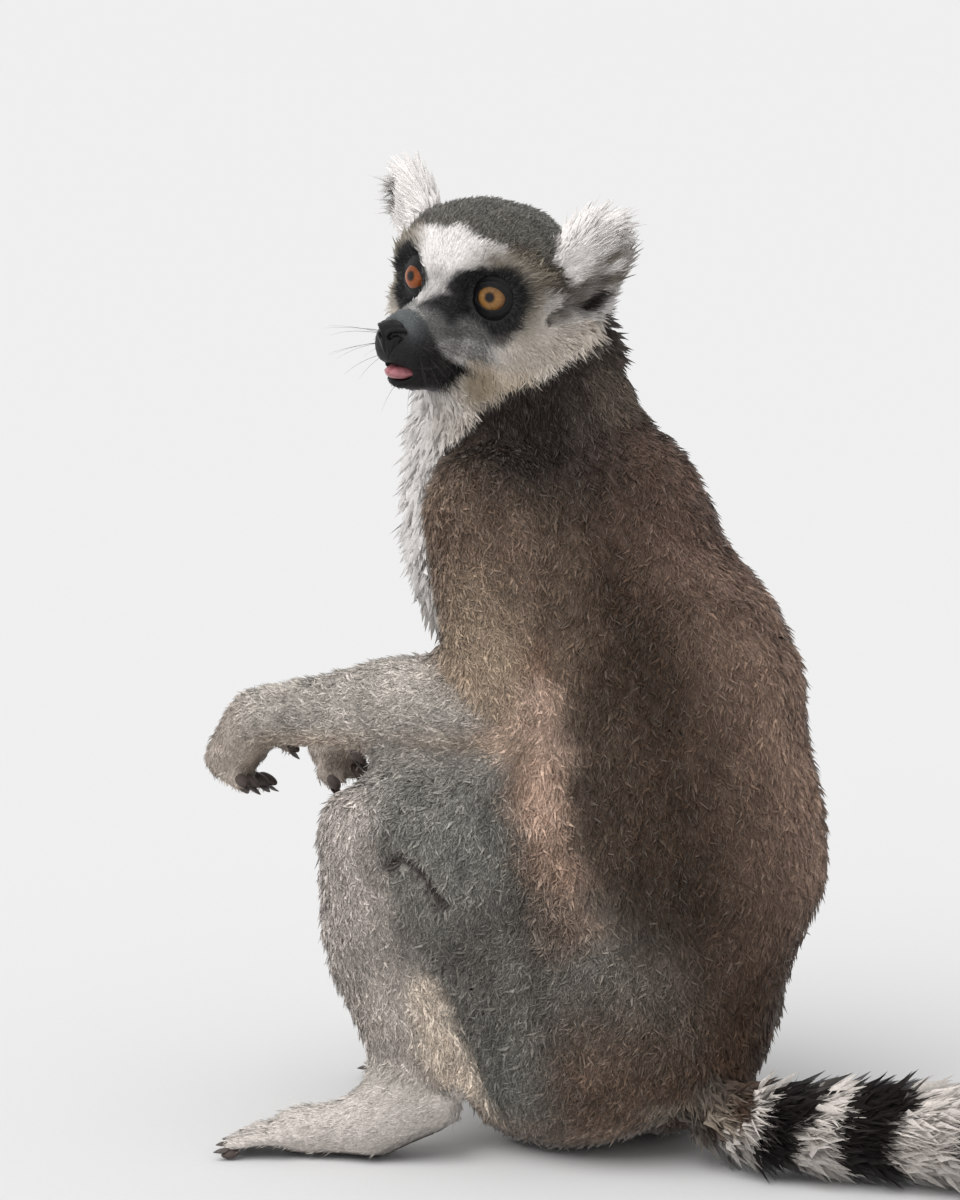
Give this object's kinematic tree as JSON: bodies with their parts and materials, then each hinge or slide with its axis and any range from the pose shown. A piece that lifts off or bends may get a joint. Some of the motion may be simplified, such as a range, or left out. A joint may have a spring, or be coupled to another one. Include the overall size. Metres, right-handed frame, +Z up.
{
  "type": "ring-tailed lemur model",
  "caption": "Life-size still model of a ring-tailed lemur sitting on its rump, one forearm over its raised knee, head turned over the left shoulder, striped tail laid on the ground.",
  "frame": {"origin": "centre of the flat under the rump, on the ground", "axes": "+X to the animal's left, -Y to its front, +Z up"},
  "size_m": [0.3626, 0.5983, 0.4033],
  "materials": {
    "fur_pale": "soft white fur with a black face patch round each eye",
    "fur_grey": "soft grey fur, salt and pepper",
    "fur_brown": "soft brown-grey fur",
    "fur_tail": "long fur in black and white rings",
    "bare_skin": "black leathery skin of nose, lids, pads and nails",
    "tongue": "moist pink",
    "eye": "glossy amber iris round a small black pupil"
  },
  "bodies": {
    "root": {"head": "fur_pale", "eye_l": "eye", "eye_r": "eye", "nose": "bare_skin", "tongue": "tongue", "ear_l": "fur_pale", "ear_r": "fur_pale", "neck": "fur_pale", "trunk": "fur_brown", "upper_arm_l": "fur_brown", "upper_arm_r": "fur_brown", "forearm_l": "fur_grey", "forearm_r": "fur_grey", "hand_l": "fur_grey", "hand_r": "fur_grey", "thigh_l": "fur_grey", "thigh_r": "fur_grey", "shin_l": "fur_grey", "shin_r": "fur_grey", "foot_l": "fur_pale", "foot_r": "fur_pale", "tail_1": "fur_tail", "tail_2": "fur_tail", "tail_3": "fur_tail", "tail_4": "fur_tail"}
  },
  "joints": []
}
